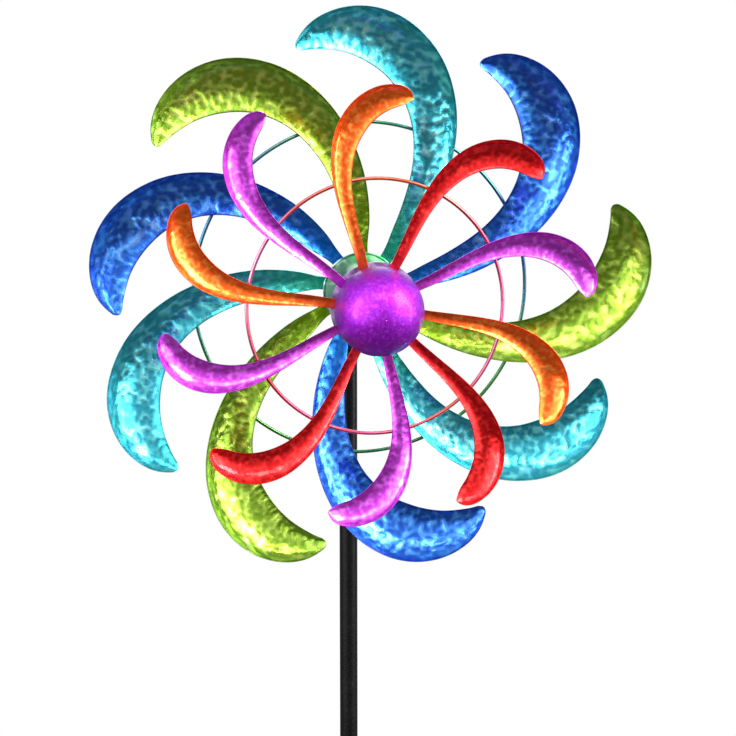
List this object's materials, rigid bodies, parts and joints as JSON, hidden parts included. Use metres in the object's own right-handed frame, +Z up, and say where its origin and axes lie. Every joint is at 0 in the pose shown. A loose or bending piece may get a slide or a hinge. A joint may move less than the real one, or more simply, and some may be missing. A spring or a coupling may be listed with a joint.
{
  "type": "garden windmill",
  "caption": "Double garden wind spinner: two counter-swept hammered-metal wheels on one axle at the top of a sectional pole with a ground fork.",
  "frame": {"origin": "ground level on the pole's axis, where the centre prong leaves the crossbar", "axes": "+Z up along the pole, -Y towards the front wheel and its dome, +X to the right seen from the front"},
  "size_m": [0.5542, 0.2751, 2.1237],
  "materials": {
    "black_paint": "satin black powder coat",
    "zinc_steel": "zinc plated steel",
    "bearing_steel": "polished bearing steel",
    "hub_green": "thin grey-green metallic paint",
    "dome_purple": "glossy translucent purple over bright metal",
    "rear_ring_paint": "translucent metallic paint, colour of the nearest blade",
    "front_ring_paint": "translucent metallic paint, colour of the nearest blade",
    "teal": "translucent teal over hammered metal",
    "blue": "translucent blue over hammered metal",
    "green": "translucent lime green over hammered metal",
    "orange": "translucent orange over hammered metal",
    "red": "translucent red over hammered metal",
    "magenta": "translucent magenta over hammered metal"
  },
  "bodies": {
    "stand": {"fork_centre_prong": "black_paint", "fork_side_prongs": "black_paint", "fork_crossbar": "black_paint", "fork_spigot": "black_paint", "lower_pole": "black_paint", "middle_pole": "black_paint", "upper_pole": "black_paint", "pole_joint_screws": "black_paint", "pole_head": "black_paint", "axle_rod": "zinc_steel", "rear_cap_nut": "zinc_steel", "rear_washer": "zinc_steel", "front_washer": "zinc_steel", "front_lock_nut": "zinc_steel", "pole_spacer": "zinc_steel", "wheel_spacer": "zinc_steel", "rear_inner_rings": "bearing_steel", "rear_race_spacer": "zinc_steel", "front_inner_rings": "bearing_steel", "front_race_spacer": "zinc_steel"},
    "rear_wheel": {"rear_hub_cover": "hub_green", "rear_hub_plate": "hub_green", "rear_hub_sleeve": "zinc_steel", "rear_outer_rings": "bearing_steel", "rear_bearing_balls": "bearing_steel", "rear_ring": "rear_ring_paint", "rear_blade_1": "teal", "rear_blade_2": "blue", "rear_blade_3": "green", "rear_blade_4": "teal", "rear_blade_5": "blue", "rear_blade_6": "green", "rear_blade_7": "teal", "rear_blade_8": "blue", "rear_blade_9": "green"},
    "front_wheel": {"front_hub_dome": "dome_purple", "front_hub_plate": "hub_green", "front_hub_sleeve": "zinc_steel", "front_outer_rings": "bearing_steel", "front_bearing_balls": "bearing_steel", "front_ring": "front_ring_paint", "front_blade_1": "orange", "front_blade_2": "red", "front_blade_3": "magenta", "front_blade_4": "orange", "front_blade_5": "red", "front_blade_6": "magenta", "front_blade_7": "red", "front_blade_8": "magenta", "front_blade_9": "orange", "front_blade_10": "magenta"}
  },
  "joints": [
    {"name": "rear_wheel_spin", "type": "hinge", "parent": "stand", "child": "rear_wheel", "pos_m": [0, -0.079, 1.615], "axis": [0, -1, 0], "continuous": true},
    {"name": "front_wheel_spin", "type": "hinge", "parent": "stand", "child": "front_wheel", "pos_m": [0, -0.176, 1.615], "axis": [0, -1, 0], "continuous": true}
  ]
}
